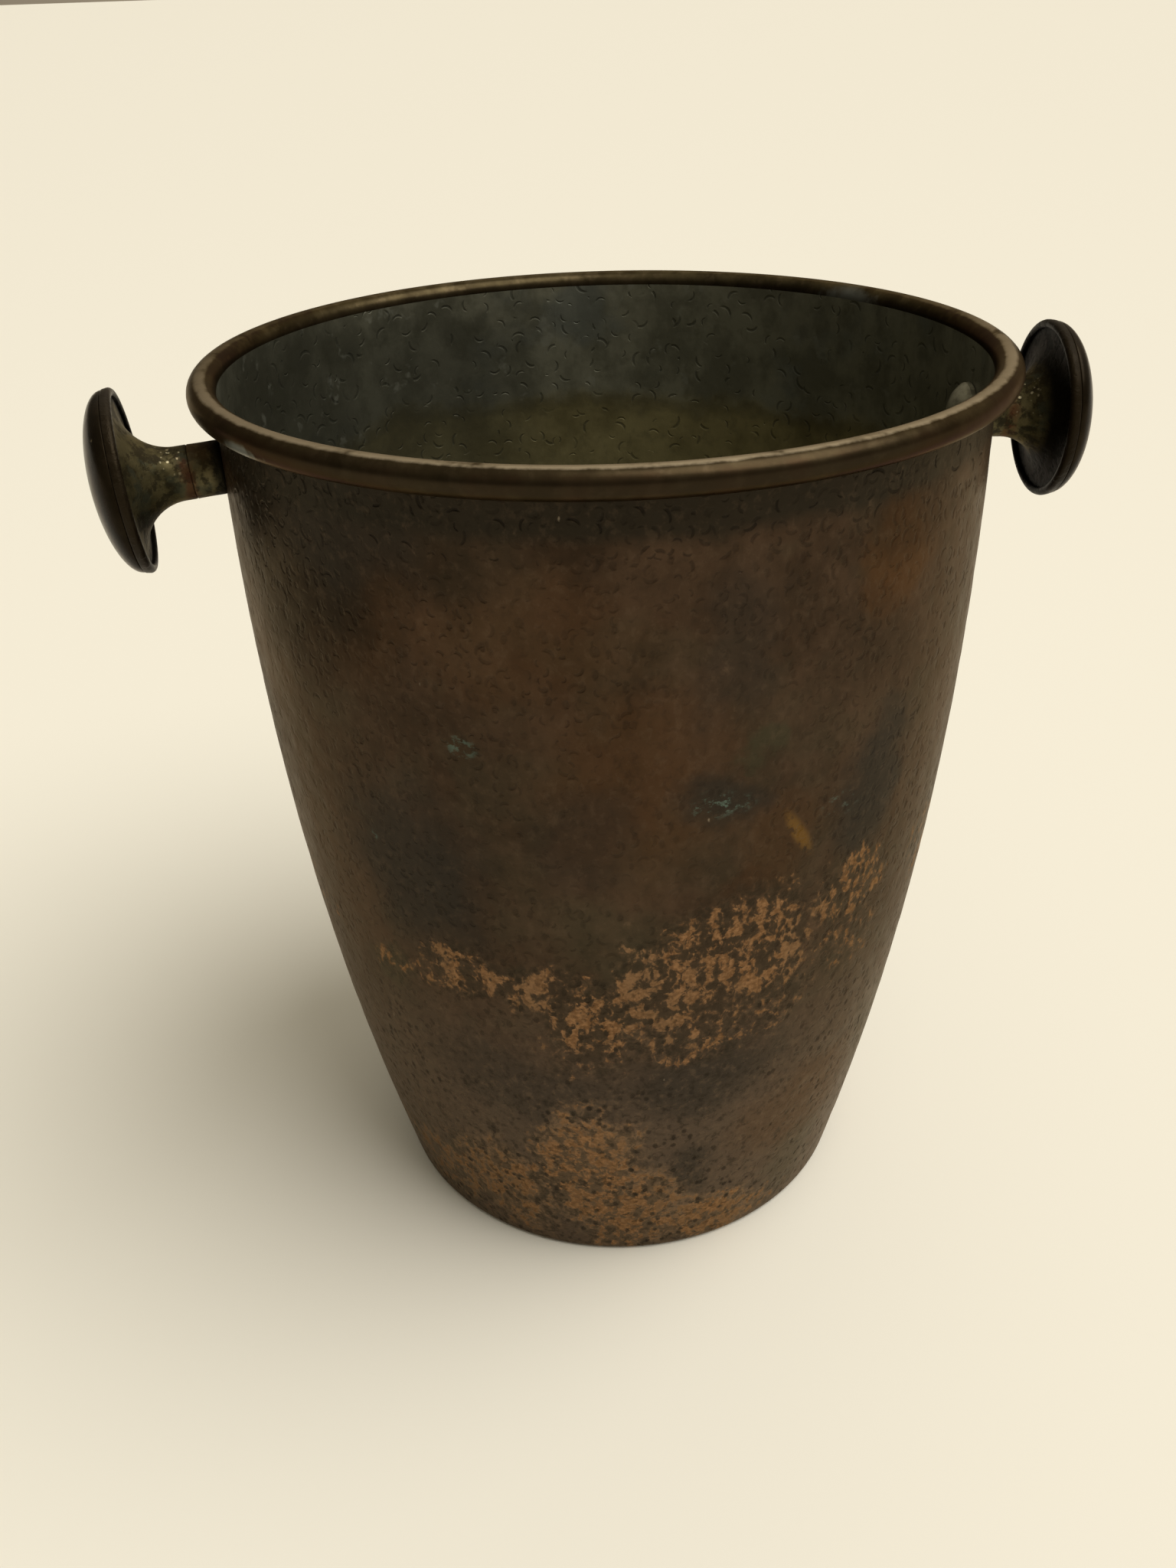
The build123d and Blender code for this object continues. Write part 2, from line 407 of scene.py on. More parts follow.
def patches(finish, angle, height, spots):
    """The strongest of several soft-edged oval patches."""
    spot_at = finish.joined(angle, height, 0.0)
    found = []
    for round_at, up_at, half_round, half_up, strength in spots:
        scale = (1 / half_round, 1 / half_up, 1.0)
        away = finish.vector("MULTIPLY_ADD", spot_at, scale, (-round_at / half_round, -up_at / half_up, 0))
        far = finish.vector("LENGTH", away, output=1)
        found.append(finish.step(far, 1.35, 0.45, 0.0, strength))
    return finish.greater(*found)


def hammered_copper():
    """Smoky brown patina over hammered copper, rubbed bright in two belts."""
    f = Finish("patinated_copper", Specular_IOR_Level=0.26, Specular_Tint=(0.68, 0.59, 0.47, 1))
    place = f.place
    angle, height = round_the_wall(f)

    broad = f.cloud(place, 46, 4, 0.6, seed=3.0)
    smear = f.cloud(place, 16, 4, 0.6, stretch=(1, 1, 3.2), seed=8.0)
    mottle = f.cloud(place, 6.5, 4, 0.6, seed=1.5)
    fleck = f.cloud(place, 4.2, 4, 0.62, stretch=(1, 1, 1.25), seed=5.0, twist=0.5)
    dapple = f.cloud(place, 2.3, 3, 0.65, stretch=(1, 1, 1.2), seed=6.0)
    grain = f.cloud(place, 1.1, 2, 0.6, seed=2.0)
    wobble_round = (f.cloud(place, 18, 4, 0.6, seed=11.0) - 0.5) * 16
    wobble_up = (f.cloud(place, 18, 4, 0.6, seed=14.0) - 0.5) * 26
    angle_r = angle + wobble_round
    height_r = height + wobble_up

    # Hammer nicks and pits, thick in some places and worn away in others.
    crowd = f.step(f.cloud(place, 24, 3, 0.6, seed=25.0), 0.38, 0.60)
    fine = nicks(f, 3.6, 2.0, 0.36, 0.13, 0.85) * (0.35 + crowd * 0.65)
    bold = nicks(f, 6.2, 7.0, 0.26, 0.065, 0.60)
    near, pick = f.specks(f.scaled(place, (1, 1, 0.7)), 2.5, 4.0)
    pit = f.step(near + (grain - 0.5) * 0.3, 0.40, 0.16) * f.step(pick, 0.25, 0.45) * (0.45 + crowd * 0.55)
    near_rim = f.step(height + wobble_up * 0.3, 216, 229)
    crisp = f.greater(bold * (0.10 + near_rim * 0.70), fine * 0.6)

    # Rubbed copper: the mask eats into flecks, so that its edges are ragged.
    belt = patches(f, angle_r, height_r, WORN_BELT + WORN_BACK[:6])
    foot = patches(f, angle_r, height_r, WORN_FOOT + WORN_BACK[6:])
    rubbed = f.greater(belt, foot * 0.97)
    tear = f.cloud(place, 2.6, 3, 0.6, stretch=(1, 1, 1.3), seed=28.0, twist=0.8)
    high = fleck * 0.40 + tear * 0.36 + dapple * 0.14 + smear * 0.10 - pit * 0.06
    worn = f.step(high + rubbed * 0.115 + foot * 0.018, 0.590, 0.645) * f.step(rubbed, 0.10, 0.4)
    hazed = f.step(high + rubbed * 0.16, 0.50, 0.64) * rubbed

    # Patina colours.
    tone = f.step(smear * 0.5 + broad * 0.5, 0.38, 0.64)
    patina = f.blend(tone, (0.035, 0.0210, 0.0120), (0.064, 0.0385, 0.0230))
    green = f.step(f.cloud(place, 26, 3, 0.6, seed=21.0), 0.48, 0.64)
    patina = f.blend(green * 0.32, patina, (0.048, 0.040, 0.024))
    patina = f.blend(f.step(mottle, 0.46, 0.70) * 0.32, patina, (0.082, 0.051, 0.031))
    patina = f.blend(f.step(mottle, 0.50, 0.30) * 0.34, patina, (0.022, 0.016, 0.010))
    lower = f.step(height + wobble_up * 0.6, 120, 60)
    patina = f.blend(lower * 0.60, patina, (0.104, 0.075, 0.055))
    warm = patches(f, angle_r, height_r, WARM)
    patina = f.blend(warm * 0.8, patina, (0.074, 0.032, 0.010))
    # Near-black patches high on the wall: darker patina, with painted shade on the upper left.
    dark_top_and_shade = patches(f, angle_r, height_r, DARK_TOP_AND_SHADE)
    patina = f.blend(dark_top_and_shade * 0.9, patina, (0.0060, 0.0038, 0.0018))
    sooty = patches(f, angle_r, height_r, SOOTY)
    patina = f.blend(sooty * 0.84, patina, (0.022, 0.0205, 0.0175))
    olive = patches(f, angle_r, height_r, OLIVE)
    patina = f.blend(olive * 0.6, patina, (0.038, 0.040, 0.022))

    # Dull band under the rim, with an uneven lower edge.
    band = f.step(height + wobble_up * 0.22, 225.5, 230.0)
    patina = f.blend(band * 0.85, patina, (0.018, 0.0155, 0.0105))

    # Rubbed areas: dull orange haze, then bare copper, which has dark pits in it.
    foot_haze = f.step(foot + (smear - 0.5) * 0.5 + (high - 0.5) * 2.2, 0.20, 0.85)
    patina = f.blend(hazed * 0.45, patina, (0.110, 0.067, 0.038))
    patina = f.blend(foot_haze * 0.72, patina, (0.215, 0.137, 0.080))
    gaps = f.step(high, 0.535, 0.455) * f.step(rubbed, 0.2, 0.6)
    patina = f.blend(gaps * 0.55, patina, (0.024, 0.019, 0.012))
    copper = f.blend(f.step(grain, 0.35, 0.7), (0.160, 0.083, 0.038), (0.30, 0.165, 0.080))
    copper = f.blend(f.step(smear, 0.42, 0.66) * 0.5, copper, (0.190, 0.117, 0.064))
    colour = f.blend(worn * 0.90, patina, copper)
    rough_skin = 0.25 + lower * 0.6
    colour = f.blend(f.step(dapple, 0.52, 0.68) * rough_skin * 0.5, colour, (0.130, 0.088, 0.056))
    colour = f.blend(f.step(dapple, 0.47, 0.33) * rough_skin * 0.7, colour, (0.016, 0.012, 0.008))
    dirt = f.greater(crisp * (0.42 + near_rim * 0.38), pit * (0.26 + lower * 0.36))
    colour = f.blend(dirt, colour, (0.010, 0.008, 0.006))

    # Verdigris, a drip and small scratches.
    verdigris = patches(f, angle + wobble_round * 0.3, height + wobble_up * 0.25, VERDIGRIS)
    crumbs = f.cloud(place, 2.1, 4, 0.7, stretch=(1.3, 1.3, 0.8), seed=19.0)
    verdigris = verdigris * f.step(crumbs, 0.51, 0.62)
    colour = f.blend(verdigris * 0.85, colour, (0.090, 0.132, 0.105))
    drip = patches(f, angle + (height - DRIP[1]) * 0.30 + (smear - 0.5) * 3, height, (DRIP,))
    drip = drip * f.step(dapple, 0.34, 0.50)
    colour = f.blend(drip * 0.92, colour, (0.125, 0.062, 0.010))
    scratch_near, scratch_pick = f.specks(f.scaled(place, (1, 1, 0.5)), 7.0, 12.0)
    scratch = f.step(scratch_near + (grain - 0.5) * 0.06, 0.06, 0.03) * f.step(scratch_pick, 0.72, 0.78)
    colour = f.blend(scratch * 0.7, colour, (0.26, 0.21, 0.15))

    f.feed("Base Color", colour)
    f.feed("Metallic", 0.70 + worn * 0.2 - verdigris * 0.6 - drip * 0.3)
    rough = 0.41 + (mottle - 0.5) * 0.24 + worn * 0.03 + sooty * 0.06 + band * 0.05
    rough = rough + dirt * 0.25 + verdigris * 0.3
    f.feed("Roughness", rough)
    facets = f.cloud(place, 5.2, 2, 0.5, seed=17.0)
    f.relief(
        facets * 0.26 + mottle * 0.14,
        (0 - crisp) * 0.20 - pit * 0.18 + worn * 0.02 + dapple * rough_skin * 0.08 + grain * 0.015,
    )
    return f.material


def tinned_inside():
    """Grey-green tinned inside, more olive below its tide line."""
    f = Finish("tinned_lining", Specular_IOR_Level=0.35)
    place = f.place
    angle, height = round_the_wall(f)
    broad = f.cloud(place, 40, 4, 0.6, seed=31.0)
    smear = f.cloud(place, 13, 4, 0.62, stretch=(1, 1, 1.3), seed=33.0)
    mottle = f.cloud(place, 5.5, 4, 0.6, seed=36.0)
    tide_height = height + (broad - 0.5) * 22 + (mottle - 0.5) * 6
    tide = f.step(tide_height, 202, 209)
    upper = f.blend(f.step(smear, 0.38, 0.62), (0.125, 0.125, 0.090), (0.200, 0.200, 0.148))
    upper = f.blend(f.step(broad, 0.52, 0.66) * 0.6, upper, (0.125, 0.140, 0.128))
    tone = f.step(smear * 0.5 + broad * 0.5, 0.38, 0.62)
    lower = f.blend(tone, (0.125, 0.108, 0.048), (0.250, 0.220, 0.105))
    colour = f.blend(tide, lower, upper)
    line = f.step(f.math("ABSOLUTE", tide_height - 203.5), 3.2, 0.6)
    colour = f.blend(line * 0.35, colour, (0.055, 0.050, 0.030))
    colour = f.blend(f.step(mottle, 0.48, 0.30) * 0.30, colour, (0.055, 0.052, 0.032))
    # Painted shade: the lining is darkened on its left and back left.
    lining_shade = patches(f, angle + (broad - 0.5) * 40, height + (smear - 0.5) * 30, LINING_SHADE)
    colour = f.blend(lining_shade * 0.80, colour, (0.026, 0.026, 0.018))
    marks = nicks(f, 5.2, 9.0, 0.34, 0.08, 0.66) * f.step(height, 150, 200)
    colour = f.blend(marks * 0.5, colour, (0.030, 0.032, 0.024))
    pale = f.step(f.cloud(place, 7, 3, 0.6, seed=44.0), 0.60, 0.70)
    colour = f.blend(pale * 0.35 * tide, colour, (0.24, 0.25, 0.21))
    f.feed("Base Color", colour)
    f.feed("Metallic", 0.50 + (mottle - 0.5) * 0.3)
    f.feed("Roughness", 0.44 + (mottle - 0.5) * 0.3 + (1 - tide) * 0.06)
    f.relief(mottle * 0.12 + f.cloud(place, 9, 2, 0.5, seed=40.0) * 0.16, (0 - marks) * 0.10)
    return f.material


def bead_wear_and_highlight():
    """Rolled rim: brown patina, a little rubbed along the top, with a painted highlight along the top at the
    front, a painted dark reflection round its middle, and small knocks.
    """
    f = Finish("bead_wear_and_highlight", Specular_IOR_Level=0.22, Specular_Tint=(0.50, 0.41, 0.28, 1))
    place = f.place
    angle, height = round_the_wall(f)
    smear = f.cloud(place, 14, 4, 0.62, seed=51.0)
    mottle = f.cloud(place, 4.0, 4, 0.62, seed=53.0)
    colour = f.blend(f.step(smear, 0.36, 0.66), (0.026, 0.0195, 0.0095), (0.058, 0.045, 0.0225))
    colour = f.blend(f.step(mottle, 0.5, 0.66) * 0.25, colour, (0.115, 0.086, 0.050))
    colour = f.blend(f.step(mottle, 0.48, 0.32) * 0.35, colour, (0.019, 0.013, 0.007))
    front = f.step(f.math("ABSOLUTE", angle), 120, 60)
    rust = front * f.step(height, 243.0, 241.5) * f.step(f.cloud(place, 24, 3, 0.6, seed=55.0), 0.40, 0.60)
    colour = f.blend(rust * 0.6, colour, (0.052, 0.026, 0.014))
    colour = f.blend(front * 0.45, colour, (0.030, 0.020, 0.011))
    # Painted highlight: a pale strip along the top of the bead, faint all round as wear and strong at the
    # front.
    crown_wear_and_highlight = f.step(height + (mottle - 0.5) * 0.5, 242.95, 243.35) * f.step(smear, 0.30, 0.46)
    colour = f.blend(crown_wear_and_highlight * (0.12 + front * 0.80), colour, (0.420, 0.350, 0.250))
    # Painted reflection: a darker band round the middle of the bead.
    dark_reflection_band = f.step(height, 242.0, 240.6) * f.step(height, 237.8, 238.9)
    colour = f.blend(dark_reflection_band * 0.55, colour, (0.022, 0.016, 0.010))
    near, pick = f.specks(f.joined(angle * 1.7, height * 0.8, 0.0), 7.0, 3.0)
    knock = f.step(near, 0.12, 0.05) * f.step(pick, 0.72, 0.78)
    colour = f.blend(knock * 0.7, colour, (0.42, 0.38, 0.32))
    pale = patches(f, angle + (mottle - 0.5) * 10, height, ((-58, 238.5, 4, 1.6, 1.0), (122, 240, 5, 3, 0.7)))
    colour = f.blend(pale * 0.6, colour, (0.22, 0.24, 0.22))
    f.feed("Base Color", colour)
    f.feed("Metallic", 0.8 - pale * 0.4)
    f.feed("Roughness", 0.33 + (smear - 0.5) * 0.25 + knock * 0.2)
    f.relief(mottle * 0.03 + f.cloud(place, 9, 2, 0.5, seed=57.0) * 0.08)
    return f.material


def dark_bronze():
    """Knob caps: very dark brown bronze, glossy from handling."""
    f = Finish("knob_bronze", Specular_IOR_Level=0.10, Specular_Tint=(0.42, 0.33, 0.22, 1))
    place = f.place
    smear = f.cloud(place, 11, 4, 0.6, seed=61.0)
    mottle = f.cloud(place, 3.2, 4, 0.6, seed=63.0)
    colour = f.blend(f.step(smear, 0.35, 0.68), (0.0070, 0.0050, 0.0026), (0.0165, 0.0120, 0.0066))
    colour = f.blend(f.step(mottle, 0.56, 0.72) * 0.2, colour, (0.026, 0.018, 0.010))
    near, pick = f.specks(place, 6.0, 4.0)
    speck = f.step(near, 0.07, 0.03) * f.step(pick, 0.5, 0.56)
    colour = f.blend(speck * 0.6, colour, (0.16, 0.13, 0.08))
    f.feed("Base Color", colour)
    f.feed("Metallic", 0.30 + (smear - 0.5) * 0.3)
    f.feed("Roughness", 0.25 + (mottle - 0.5) * 0.16 + (smear - 0.5) * 0.12)
    f.relief(f.cloud(place, 7, 2, 0.5, seed=67.0) * 0.08 + mottle * 0.02)
    return f.material


def old_brass(name, side, dull, light, amber, dish_shade, gloss):
    """Uncleaned brass: olive, with dark spots and bright specks near the neck, and painted shade on the
    concave back facing the wall, at the wall end and in a line behind the lip.
    """
    f = Finish(name, Specular_IOR_Level=gloss, Specular_Tint=(0.50, 0.41, 0.27, 1))
    place = f.place
    z = f.parts(place)[2]
    out, radius = round_the_knob(f, side)
    smear = f.cloud(place, 8, 4, 0.62, seed=71.0)
    mottle = f.cloud(place, 2.4, 4, 0.65, seed=73.0)
    colour = f.blend(f.step(smear, 0.36, 0.66), dull, light)
    crust = f.step(mottle + smear * 0.5, 0.80, 0.66)
    colour = f.blend(crust * 0.75, colour, (0.014, 0.012, 0.007))
    green = f.step(f.cloud(place, 5, 3, 0.6, seed=75.0), 0.52, 0.62)
    colour = f.blend(green * 0.4, colour, (0.050, 0.058, 0.040))
    near, pick = f.specks(place, 1.1, 6.0)
    neck = f.step(out, 102.4, 103.6) * f.step(out, 110.0, 106.0) * f.step(z, 221.0, 225.0)
    speck = f.step(near + (mottle - 0.5) * 1.1, 0.36, 0.20) * f.step(pick, 0.50, 0.58) * neck
    colour = f.blend(speck * 0.85, colour, (0.42, 0.37, 0.24))
    seam = f.step(f.math("ABSOLUTE", out - 102.6), 2.6, 0.4) * f.step(smear, 0.46, 0.60)
    colour = f.blend(seam * 0.6, colour, (0.080, 0.020, 0.010))
    top = f.step(z + (smear - 0.5) * 10, 222, 229)
    colour = f.blend(top * amber, colour, (0.100, 0.045, 0.010))
    # Painted shade: the collar's end next to the wall is darkened nearly black.
    wall_end_shade = f.step(out + (mottle - 0.5) * 2, 98.0, 95.4)
    colour = f.blend(wall_end_shade * 0.9, colour, (0.006, 0.006, 0.004))
    # Painted shade on the flare's concave back, which faces the wall: strong on the right knob, light on the
    # left.
    dish_shade_mask = f.step(radius + (smear - 0.5) * 3, 8.8, 12.5)
    colour = f.blend(dish_shade_mask * dish_shade, colour, (0.0035, 0.003, 0.0016))
    shadow_line = f.step(radius, 17.9, 19.0)
    colour = f.blend(shadow_line * 0.95, colour, (0.0025, 0.002, 0.0012))
    lip = f.step(radius, 19.9, 20.3)
    colour = f.blend(lip, colour, (0.0125, 0.0088, 0.0048))
    f.feed("Base Color", colour)
    metal = 0.55 - crust * 0.2 + speck * 0.3 - dish_shade_mask * (0.3 * dish_shade) - shadow_line * 0.15
    f.feed("Metallic", metal)
    f.feed("Roughness", 0.46 + (mottle - 0.5) * 0.25 + crust * 0.15 - lip * 0.14 - speck * 0.12)
    f.relief(f.cloud(place, 5, 2, 0.5, seed=77.0) * 0.10 - crust * 0.05 + mottle * 0.04)
    return f.material


def tinned_head():
    """Fixing screws: worn tin with brass showing."""
    f = Finish("tinned_brass", Specular_IOR_Level=0.4)
    smear = f.cloud(f.place, 4, 4, 0.6, seed=81.0)
    colour = f.blend(f.step(smear, 0.36, 0.64), (0.140, 0.130, 0.088), (0.330, 0.315, 0.230))
    f.feed("Base Color", colour)
    f.feed("Metallic", 0.6 + (smear - 0.5) * 0.2)
    f.feed("Roughness", 0.42 + (smear - 0.5) * 0.3)
    f.relief(smear * 0.05)
    return f.material


def drawn_wire():
    """Wire inside the rolled rim."""
    f = Finish("rim_wire", Specular_IOR_Level=0.4)
    smear = f.cloud(f.place, 6, 3, 0.6, seed=91.0)
    f.feed("Base Color", f.blend(f.step(smear, 0.36, 0.64), (0.05, 0.035, 0.02), (0.12, 0.075, 0.04)))
    f.feed("Metallic", 0.7 + (smear - 0.5) * 0.2)
    f.feed("Roughness", 0.45 + (smear - 0.5) * 0.2)
    return f.material


# ---------------------------------------------------------------- the bucket's sheet
def dress_sheet(mesh):
    """Sort the sheet's faces into outside, lining and bead, and dent them."""
    wall_axis = Vector((WALL_CENTRE, 0, WIDEST_HEIGHT))
    for face in mesh.faces:
        middle = face.calc_center_median()
        across = Vector((sqrt(middle.x**2 + middle.y**2), 0, middle.z))
        from_wire = (across - Vector((RIM_CENTRE, 0, RIM_HEIGHT))).length
        depth = WALL_CURVE - (across - wall_axis).length
        if from_wire < BEAD_RADIUS + 0.1 * MM and across.x > RIM_CENTRE - BEAD_RADIUS:
            face.material_index = 2
        elif depth > SHEET * 0.6 and face.normal.dot(Vector((middle.x, middle.y, 0))) < 0 or (
            depth > SHEET * 0.6 and face.normal.z > 0.5
        ):
            face.material_index = 1
    for vert in mesh.verts:
        radius = sqrt(vert.co.x**2 + vert.co.y**2)
        across = Vector((radius, 0, vert.co.z))
        depth = WALL_CURVE - (across - wall_axis).length
        if abs(depth) < 0.05 * MM and DENTED_FROM * MM < vert.co.z < DENTED_TO * MM:
            inward = Vector((-vert.co.x, -vert.co.y, 0)).normalized()
            place = vert.co / MM
            near = noise.voronoi(place / DENT_SPACING, distance_metric="DISTANCE", exponent=2.5)
            hollow = max(0.0, 1 - (near[0][0] / DENT_REACH) ** 2) * DENT_DEPTH
            waves = sum(WAVE_DEPTH * (noise.noise(place / size) + 1) * 0.5 for size in WAVE_SIZES)
            edge = min(1.0, (place.z - DENTED_FROM) / DENT_FADE, (DENTED_TO - place.z) / DENT_FADE)
            vert.co += inward * (hollow + waves) * edge * MM


def make_sheet():
    """Base, wall and rolled rim in one closed sheet."""
    foot_reach = WALL_CURVE - FOOT_EDGE
    foot_turn = degrees(asin((WIDEST_HEIGHT - FOOT_EDGE) / foot_reach))
    foot_x = WALL_CENTRE + foot_reach * cos(radians(foot_turn))
    slope = DISH_RADIUS + DISH_SLOPE
    pen = Outline(0, DISH_DEPTH)
    pen.line((DISH_RADIUS * 0.5, DISH_DEPTH), (DISH_RADIUS, DISH_DEPTH), (slope, 0), (foot_x, 0))
    pen.arc((foot_x, FOOT_EDGE), 90 - foot_turn, 6)
    pen.arc((WALL_CENTRE, WIDEST_HEIGHT), foot_turn + TOUCH, 150)
    pen.arc((RIM_CENTRE, RIM_HEIGHT), -ROLL_TURN, 10)
    end = radians(ROLL_END)
    pen.line((RIM_CENTRE + BEAD_RADIUS * cos(end), RIM_HEIGHT + BEAD_RADIUS * sin(end)))
    pen.arc((RIM_CENTRE, RIM_HEIGHT), ROLL_TURN, 26)
    pen.arc((WALL_CENTRE, WIDEST_HEIGHT), -(foot_turn + TOUCH), 24)
    pen.arc((foot_x, FOOT_EDGE), foot_turn - 90, 4)
    dish_top = DISH_DEPTH + SHEET
    pen.line((slope, SHEET), (DISH_RADIUS, dish_top), (DISH_RADIUS * 0.5, dish_top), (0, dish_top))
    bends = ((DISH_RADIUS, DISH_DEPTH), (slope, 0), (slope, SHEET), (DISH_RADIUS, dish_top))
    pen.round_corners(bends, DISH_BLEND * 0.155, 3)
    sheet = pen.turned((0, 0, 1), 400)
    dress_sheet(sheet)
    return finish_piece(
        sheet, "hammered_bucket", ["copper_shell"],
        [hammered_copper(), tinned_inside(), bead_wear_and_highlight()], crease=50,
    )


# ---------------------------------------------------------------- the knobs
def knob_aim(side):
    """Place of a knob: where its axis meets the wall, and its turn from the X axis."""
    heading = -KNOB_FORWARD if side == "right" else 180 + KNOB_FORWARD
    turn = Matrix.Rotation(radians(heading), 4, "Z") @ Matrix.Rotation(radians(DROOP[side]), 4, "Y")
    level = Matrix.Rotation(radians(heading), 4, "Z") @ Vector((WIDEST_RADIUS, 0, 0))
    return level + Vector((0, 0, KNOB_HEIGHT)), turn


def place_knob(mesh, side):
    """Move a piece turned on the X axis to its knob's own axis."""
    at_wall, turn = knob_aim(side)
    moved = Matrix.Translation(at_wall) @ turn @ Matrix.Translation((-WIDEST_RADIUS, 0, 0))
    bmesh.ops.transform(mesh, matrix=moved, verts=mesh.verts[:])


def make_cap(side, finish):
    """Thin pressed dome, seated on the flare's lip."""
    cap_base = LIP_PLANE[side] + LIP_FRONT
    pen = Outline(CAP_RADIUS, 0)
    pen.arc((0, 0), 90, 30)
    pen.line((0, CAP_RADIUS - CAP_SHEET))
    pen.arc((0, 0), -90, 16)
    mesh = pen.mesh
    outside = [v for v in mesh.verts if v.co.length > CAP_RADIUS - CAP_SHEET / 2]
    inside = [v for v in mesh.verts if v.co.length < CAP_RADIUS - CAP_SHEET / 2]
    bmesh.ops.scale(mesh, vec=(CAP_HEIGHT / CAP_RADIUS, 1, 1), verts=outside)
    bmesh.ops.scale(mesh, vec=((CAP_HEIGHT - CAP_SHEET) / (CAP_RADIUS - CAP_SHEET), 1, 1), verts=inside)
    bmesh.ops.translate(mesh, vec=(cap_base, 0, 0), verts=mesh.verts[:])
    pen.round_corners([(cap_base, CAP_RADIUS)], 0.25 * MM, 3)
    pen.turned((1, 0, 0), 160)
    place_knob(mesh, side)
    return finish_piece(mesh, f"{side}_knob_cap", [f"{side}_cap"], [finish])


def circle_through(a, b, c):
    """Centre of the circle through three points of a section, and the turn from first to last."""
    a, b, c = (complex(*p) for p in (a, b, c))
    w = (c - a) / (b - a)
    centre = (b - a) * (w - abs(w) ** 2) / (2j * w.imag) + a
    turn = degrees(phase((c - centre) / (a - centre)))
    return (centre.real, centre.imag), turn


def make_flare(side, finish):
    """Stem swept out like a trumpet to a rounded lip, and hollow under its cap."""
    lip_plane = LIP_PLANE[side]
    cap_base = lip_plane + LIP_FRONT
    centre = (lip_plane - FLARE_BACK - FLARE_SWEEP, STEM_RADIUS + FLARE_SWEEP)
    hollow = cap_base - centre[0]
    hollow_turn = degrees(asin(FLARE_SWEEP / hollow))
    bore = SCREW_RADIUS + 0.05 * MM
    lip_start = (lip_plane - LIP_STEP, LIP_INNER)
    lip_middle = (lip_plane - LIP_BACK, (LIP_INNER + LIP_RADIUS) / 2)
    lip_end = (lip_plane - LIP_EDGE, LIP_RADIUS)
    lip_centre, lip_turn = circle_through(lip_start, lip_middle, lip_end)
    lip_front = (cap_base, LIP_RADIUS - 0.2 * MM)
    pen = Outline(COLLAR_END, STEM_RADIUS)
    pen.line((centre[0], STEM_RADIUS))
    pen.arc(centre, 90, 26)
    pen.line((lip_plane - FLARE_BACK, LIP_INNER), lip_start)
    pen.arc(lip_centre, lip_turn, 8)
    pen.line(lip_front, (cap_base, centre[1]))
    pen.arc(centre, -hollow_turn, 12)
    pen.line((pen.tip.co.x, bore), (COLLAR_END, bore))
    pen.close()
    pen.round_corners([lip_front], 0.35 * MM, 3)
    pen.round_corners([(COLLAR_END, STEM_RADIUS)], 0.3 * MM, 2)
    mesh = pen.turned((1, 0, 0), 144)
    place_knob(mesh, side)
    return finish_piece(mesh, f"{side}_knob_flare", [f"{side}_flare"], [finish])


def make_collar(side, finish):
    """Plain distance collar between the wall and the stem."""
    bore = SCREW_RADIUS + 0.2 * MM
    inner = COLLAR_START - 0.6 * MM
    pen = Outline(inner, bore)
    pen.line((COLLAR_END, bore), (COLLAR_END, STEM_RADIUS))
    pen.line(((COLLAR_START + COLLAR_END) / 2, STEM_RADIUS - 0.05 * MM), (inner, STEM_RADIUS))
    pen.close()
    pen.round_corners([(COLLAR_END, STEM_RADIUS)], 0.3 * MM, 3)
    pen.round_corners([(inner, STEM_RADIUS)], 1.2 * MM, 5)
    mesh = pen.turned((1, 0, 0), 96)
    place_knob(mesh, side)
    return finish_piece(mesh, f"{side}_knob_collar", [f"{side}_collar"], [finish])


def dress_node(name, finish):
    """Give a CAD node its finish."""
    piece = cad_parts[name]
    if not piece.material_slots:
        piece.data.materials.append(finish)
    for place in piece.material_slots:
        place.material = finish


# ---------------------------------------------------------------- studio
def make_floor():
    """Plain cream table top, reaching past the edge of the view."""
    mesh = bmesh.new()
    bmesh.ops.create_grid(mesh, x_segments=2, y_segments=2, size=400)
    data = bpy.data.meshes.new("table_top")
    mesh.to_mesh(data)
    mesh.free()
    floor = bpy.data.objects.new("table_top", data)
    bpy.context.scene.collection.objects.link(floor)
    paint = bpy.data.materials.new("cream_table")
    paint.use_nodes = True
    shader = paint.node_tree.nodes["Principled BSDF"]
    shader.inputs["Base Color"].default_value = (0.80, 0.780, 0.705, 1)
    shader.inputs["Roughness"].default_value = 0.6
    shader.inputs["Specular IOR Level"].default_value = 0.2
    data.materials.append(paint)


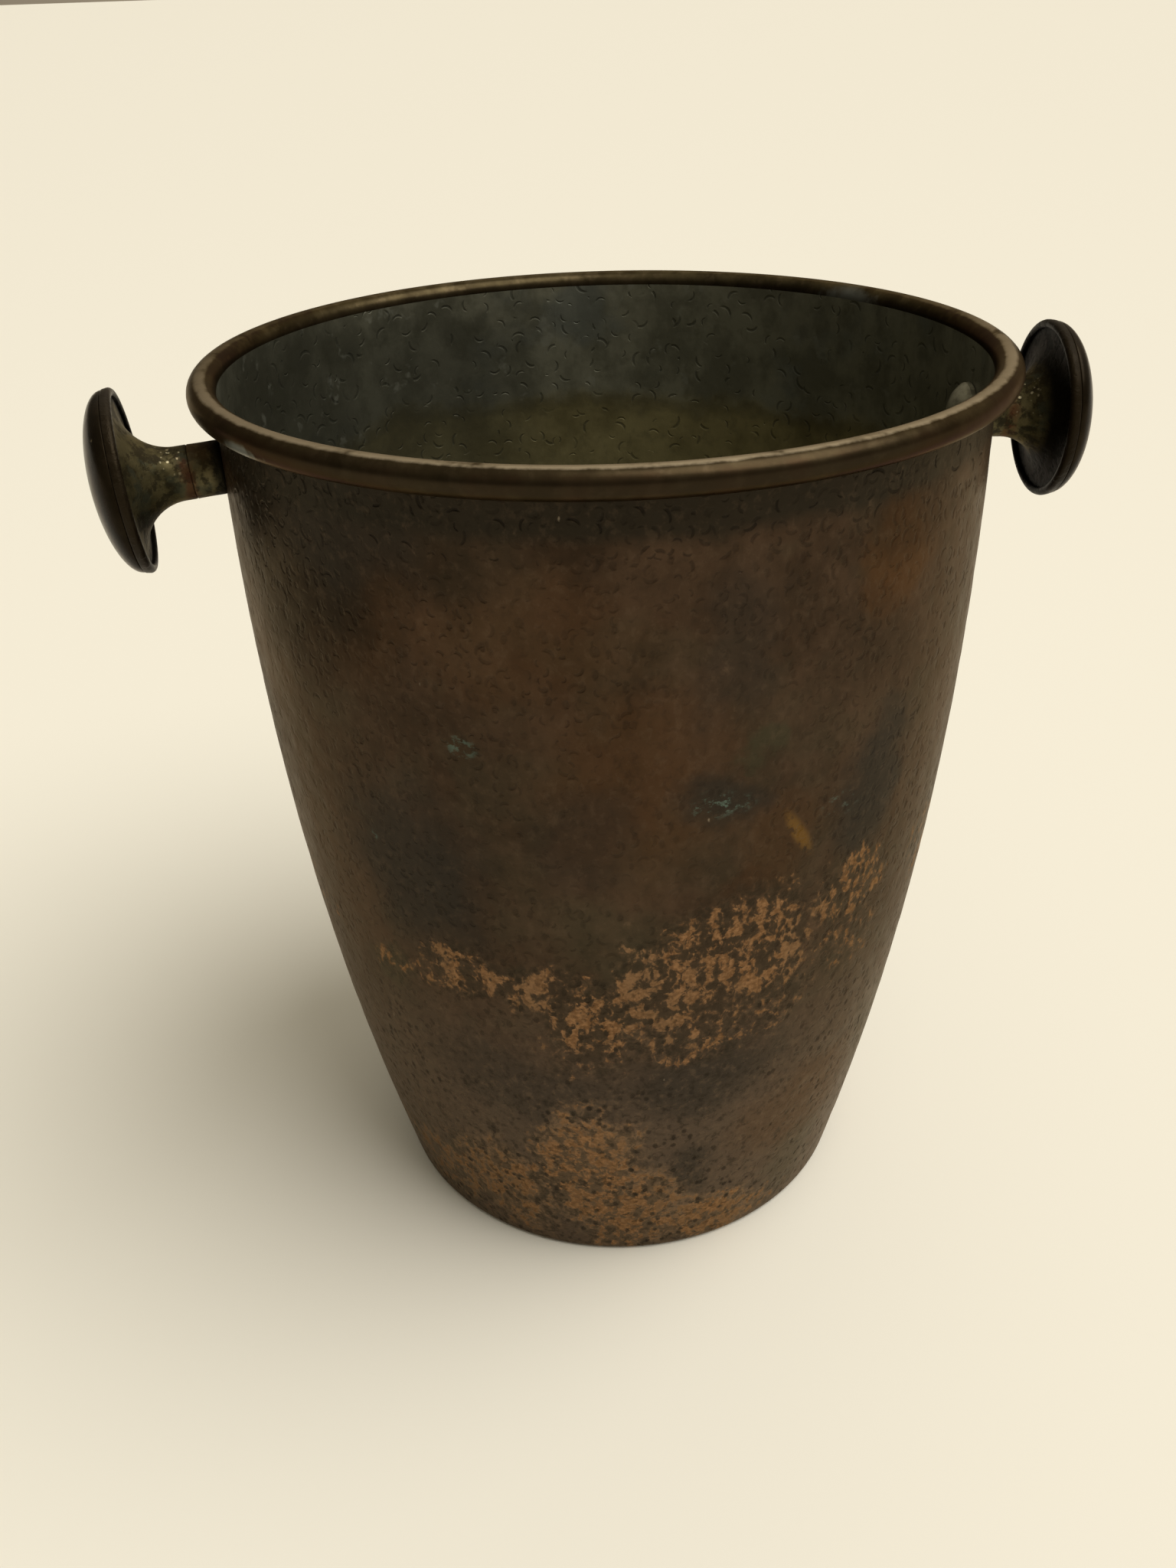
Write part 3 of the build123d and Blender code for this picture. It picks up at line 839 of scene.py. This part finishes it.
def make_light():
    """One wide soft light from the right and above, in a warm dim room."""
    lamp = bpy.data.lights.new("soft_light", "SUN")
    lamp.energy = 2.38
    lamp.angle = radians(50)
    lamp.color = (1.0, 0.965, 0.91)
    light = bpy.data.objects.new("soft_light", lamp)
    light.rotation_mode = "QUATERNION"
    light.rotation_quaternion = Vector((-0.50, 0.28, -1.0)).to_track_quat("-Z", "Y")
    bpy.context.scene.collection.objects.link(light)

    room = bpy.data.worlds.new("warm_room")
    room.use_nodes = True
    tree = room.node_tree
    sky = tree.nodes["Background"]
    ray = tree.nodes.new("ShaderNodeTexCoord")
    split = tree.nodes.new("ShaderNodeSeparateXYZ")
    ramp = tree.nodes.new("ShaderNodeValToRGB")
    tree.links.new(ray.outputs["Generated"], split.inputs[0])
    tree.links.new(split.outputs[2], ramp.inputs[0])
    stops = ramp.color_ramp.elements
    stops[0].position, stops[0].color = 0.0, (0.35, 0.29, 0.205, 1)
    stops[1].position, stops[1].color = 0.9, (0.82, 0.75, 0.60, 1)
    middle = stops.new(0.25)
    middle.color = (0.22, 0.19, 0.14, 1)

    # The room is darker to the left.
    side = tree.nodes.new("ShaderNodeMapRange")
    side.interpolation_type = "SMOOTHSTEP"
    for index, value in ((1, -0.85), (2, 0.45), (3, 0.34), (4, 1.18)):
        side.inputs[index].default_value = value
    tree.links.new(split.outputs[0], side.inputs[0])
    shade = tree.nodes.new("ShaderNodeVectorMath")
    shade.operation = "SCALE"
    tree.links.new(ramp.outputs[0], shade.inputs[0])
    tree.links.new(side.outputs[0], shade.inputs["Scale"])
    tree.links.new(shade.outputs[0], sky.inputs["Color"])
    bpy.context.scene.world = room


def make_camera():
    """Camera a little to the left of the front, looking down into the bucket."""
    about = radians(CAMERA_ROUND)
    heading = radians(CAMERA_ROUND - CAMERA_ASIDE)
    down = radians(CAMERA_DOWN)
    camera_data = bpy.data.cameras.new("camera")
    camera_data.lens = CAMERA_LENS
    camera_data.sensor_width = 36.0
    camera_data.clip_start = 0.01
    camera_data.clip_end = 1000
    camera = bpy.data.objects.new("camera", camera_data)
    camera.location = (-CAMERA_AWAY * sin(about), -CAMERA_AWAY * cos(about), CAMERA_HEIGHT)
    look = Vector((sin(heading) * cos(down), cos(heading) * cos(down), -sin(down)))
    camera.rotation_mode = "QUATERNION"
    roll = Quaternion((0, 0, 1), radians(CAMERA_ROLL))
    camera.rotation_quaternion = look.to_track_quat("-Z", "Y") @ roll
    bpy.context.scene.collection.objects.link(camera)
    bpy.context.scene.camera = camera


# ---------------------------------------------------------------- put it together
make_sheet()
cap_finish = dark_bronze()
# The right flare gets strong painted shade on its concave back, the left flare light.
for knob_side, flare_dish_shade, flare_gloss in (("right", 0.95, 0.07), ("left", 0.25, 0.22)):
    make_cap(knob_side, cap_finish)
    make_flare(knob_side, old_brass(
        f"{knob_side}_flare_brass", knob_side, dull=(0.038, 0.033, 0.015),
        light=(0.118, 0.100, 0.049), amber=0.05, dish_shade=flare_dish_shade, gloss=flare_gloss,
    ))
    make_collar(knob_side, old_brass(
        f"{knob_side}_collar_brass", knob_side, dull=(0.050, 0.044, 0.022),
        light=(0.125, 0.106, 0.054), amber=0.4, dish_shade=0.0, gloss=0.22,
    ))
screw_finish = tinned_head()
dress_node("right_screw", screw_finish)
dress_node("left_screw", screw_finish)
dress_node("rim_wire", drawn_wire())

make_floor()
make_light()
make_camera()
bpy.context.scene.view_settings.view_transform = "Standard"
